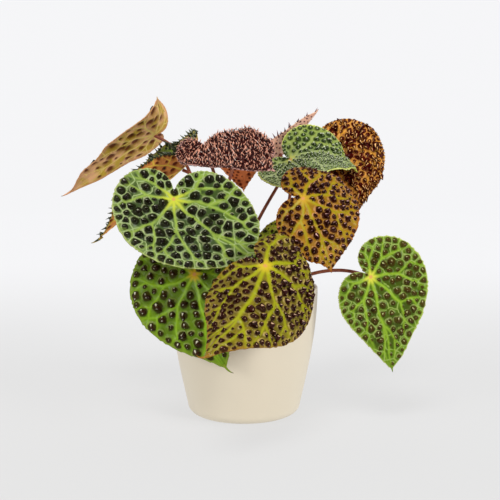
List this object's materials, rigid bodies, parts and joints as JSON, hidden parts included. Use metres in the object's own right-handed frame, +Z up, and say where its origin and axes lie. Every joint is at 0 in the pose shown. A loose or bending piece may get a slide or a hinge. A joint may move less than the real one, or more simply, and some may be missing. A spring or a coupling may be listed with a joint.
{
  "type": "potted begonia",
  "caption": "Compact begonia with lopsided heart-shaped leaves that carry raised dark cones between pale veins, in a plain tapered round plastic pot",
  "frame": {"origin": "centre of the pot's flat underside, on the surface that the pot stands on", "axes": "+Z up, +X to the plant's right and -Y towards the front that the low leaves hang over"},
  "size_m": [0.3324, 0.2802, 0.287],
  "materials": {
    "pot": "smooth satin moulded plastic",
    "soil": "loose dark potting soil with bark and fibre",
    "rhizome": "rough brown living stem",
    "petiole": "semi-matt reddish brown living stem",
    "leaf_big_green": "waxy living leaf with raised dark cones between pale veins",
    "leaf_low_green": "waxy living leaf with raised dark cones between pale veins",
    "leaf_olive_front": "waxy living leaf with raised dark cones between pale veins",
    "leaf_gold_right": "waxy living leaf with raised dark cones between pale veins",
    "leaf_heart_right": "waxy living leaf with raised dark cones between pale veins",
    "leaf_copper_top": "waxy living leaf with raised dark cones between pale veins",
    "leaf_folded_green": "waxy living leaf with raised dark cones between pale veins",
    "leaf_young_pink": "waxy living leaf with raised dark cones between pale veins",
    "leaf_young_purple": "waxy living leaf with raised dark cones between pale veins",
    "leaf_brown_back": "waxy living leaf with raised dark cones between pale veins",
    "leaf_tan_far_left": "waxy living leaf with raised dark cones between pale veins",
    "leaf_brown_left": "waxy living leaf with raised dark cones between pale veins",
    "leaf_small_middle": "waxy living leaf with raised dark cones between pale veins"
  },
  "bodies": {
    "root": {"pot": "pot", "soil": "soil", "rhizome": "rhizome", "leaf_big_green": "leaf_big_green", "leaf_low_green": "leaf_low_green", "leaf_olive_front": "leaf_olive_front", "leaf_gold_right": "leaf_gold_right", "leaf_heart_right": "leaf_heart_right", "leaf_copper_top": "leaf_copper_top", "leaf_folded_green": "leaf_folded_green", "leaf_young_pink": "leaf_young_pink", "leaf_young_purple": "leaf_young_purple", "leaf_brown_back": "leaf_brown_back", "leaf_tan_far_left": "leaf_tan_far_left", "leaf_brown_left": "leaf_brown_left", "leaf_small_middle": "leaf_small_middle", "petiole_big_green": "petiole", "petiole_low_green": "petiole", "petiole_olive_front": "petiole", "petiole_gold_right": "petiole", "petiole_heart_right": "petiole", "petiole_copper_top": "petiole", "petiole_folded_green": "petiole", "petiole_young_pink": "petiole", "petiole_young_purple": "petiole", "petiole_brown_back": "petiole", "petiole_tan_far_left": "petiole", "petiole_brown_left": "petiole", "petiole_small_middle": "petiole"}
  },
  "joints": []
}
